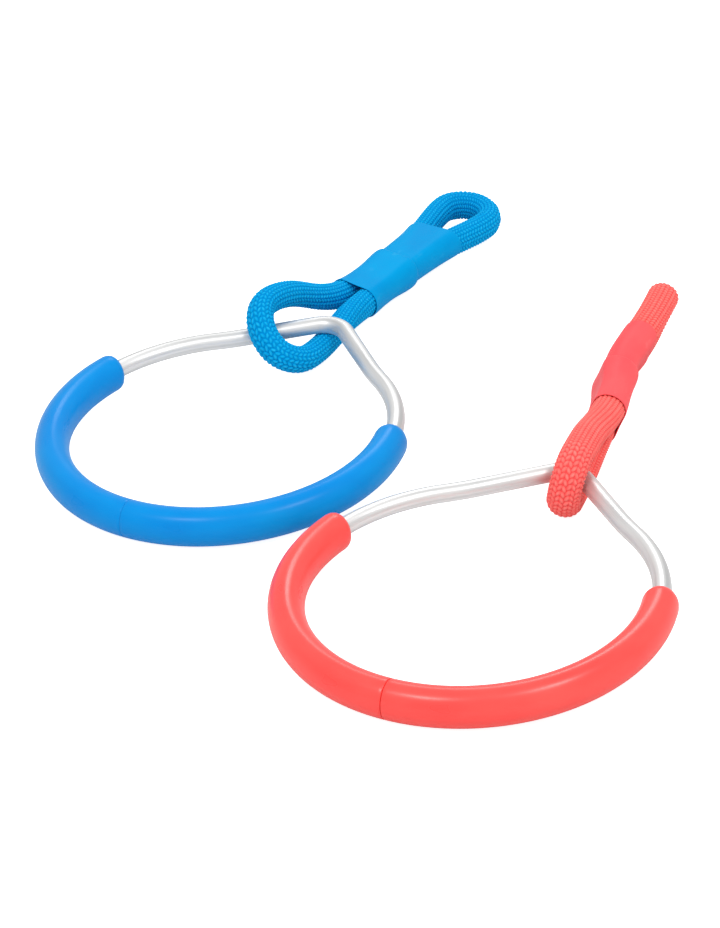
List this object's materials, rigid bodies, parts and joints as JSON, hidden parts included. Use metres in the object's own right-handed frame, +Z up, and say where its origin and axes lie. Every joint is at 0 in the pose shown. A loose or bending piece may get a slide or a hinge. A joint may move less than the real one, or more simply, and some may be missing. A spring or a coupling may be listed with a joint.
{
  "type": "gymnastics rings",
  "caption": "Pair of pear-shaped steel hand rings with soft grips, each on a short braided rope sling bound by shrunk sleeves.",
  "frame": {"origin": "on the floor, under the middle of the pair's bounding box", "axes": "+Z up from the floor the pair lies on, +Y away from the front along the pair's longest way, +X to the right"},
  "size_m": [0.3088, 0.4704, 0.0411],
  "materials": {
    "rod": "bright plated steel rod, lightly streaked along its length",
    "grip_blue": "smooth blue dipped grip with a soft sheen",
    "grip_red": "smooth red dipped grip with a soft sheen",
    "rope_blue": "blue braided rope",
    "rope_red": "red braided rope",
    "sleeve_blue": "blue shrunk sleeve, satin",
    "sleeve_red": "red shrunk sleeve, satin"
  },
  "bodies": {
    "ring_blue": {"rod_blue": "rod", "grip_right_blue": "grip_blue", "grip_left_blue": "grip_blue"},
    "sling_blue": {"rope_blue": "rope_blue", "sleeve_lower_blue": "sleeve_blue", "sleeve_upper_blue": "sleeve_blue"},
    "ring_red": {"rod_red": "rod", "grip_right_red": "grip_red", "grip_left_red": "grip_red"},
    "sling_red": {"rope_red": "rope_red", "sleeve_lower_red": "sleeve_red", "sleeve_upper_red": "sleeve_red"}
  },
  "joints": [
    {"name": "blue_sling_swing", "type": "hinge", "parent": "ring_blue", "child": "sling_blue", "pos_m": [-0.03577, 0.09122, 0.0189], "axis": [0.9871, 0.1556, 0.0381], "range_deg": [-2, 150]},
    {"name": "red_sling_swing", "type": "hinge", "parent": "ring_red", "child": "sling_red", "pos_m": [0.08931, -0.05974, 0.01823], "axis": [0.9191, -0.3941, 0.0052], "range_deg": [-150, 10]},
    {"name": "red_ring_slide", "type": "slide", "parent": "ring_blue", "child": "ring_red", "axis": [1, 0, 0], "range_m": [0, 0.3]}
  ]
}
